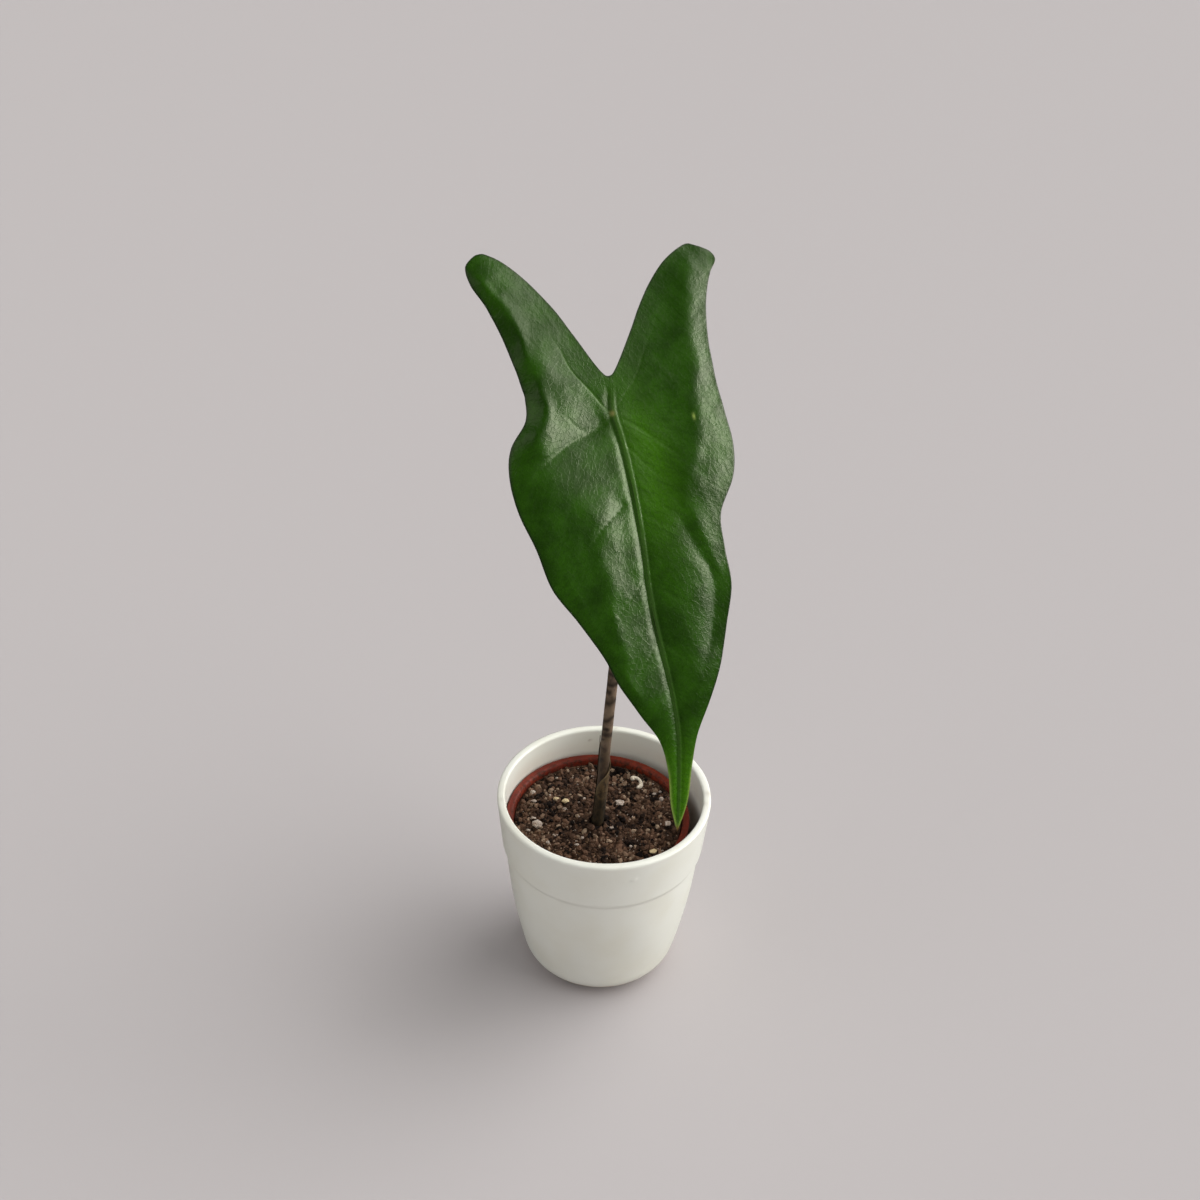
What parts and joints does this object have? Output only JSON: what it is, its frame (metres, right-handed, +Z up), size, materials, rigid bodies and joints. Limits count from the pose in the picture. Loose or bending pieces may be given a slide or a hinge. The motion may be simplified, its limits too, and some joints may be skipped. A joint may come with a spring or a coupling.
{
  "type": "potted tigrina alocasia",
  "caption": "Arrow-shaped glossy leaf on a slim tiger-banded stalk, growing from soil in a plastic grow pot set inside a white glazed cover pot.",
  "frame": {"origin": "centre of the cover pot's flat underside, on the surface the plant stands on", "axes": "+Z up along the cover pot's axis, -Y towards the front that the leaf's upper face looks to, +X to the plant's right as seen from the front"},
  "size_m": [0.1568, 0.1895, 0.4824],
  "materials": {
    "glazed_white": "satin",
    "terracotta_plastic": "satin",
    "potting_mix": "matte",
    "corm_skin": "matte",
    "tiger_stalk": "satin",
    "dry_sheath": "matte",
    "leaf_green": "satin",
    "perlite_white": "matte",
    "pale_wood": "matte"
  },
  "bodies": {
    "root": {"cover_pot": "glazed_white", "nursery_pot": "terracotta_plastic", "soil": "potting_mix", "corm": "corm_skin", "petiole": "tiger_stalk", "leaf_sheath": "dry_sheath", "leaf_blade": "leaf_green", "perlite_01": "perlite_white", "perlite_02": "perlite_white", "perlite_03": "perlite_white", "perlite_04": "perlite_white", "perlite_05": "perlite_white", "perlite_06": "perlite_white", "perlite_07": "perlite_white", "perlite_08": "perlite_white", "perlite_09": "perlite_white", "perlite_10": "perlite_white", "perlite_11": "perlite_white", "perlite_12": "perlite_white", "perlite_13": "perlite_white", "perlite_14": "perlite_white", "perlite_15": "perlite_white", "perlite_16": "perlite_white", "perlite_17": "perlite_white", "perlite_18": "perlite_white", "perlite_19": "perlite_white", "wood_chip_01": "pale_wood", "wood_chip_02": "pale_wood", "wood_chip_03": "pale_wood", "curled_shaving": "pale_wood"}
  },
  "joints": []
}
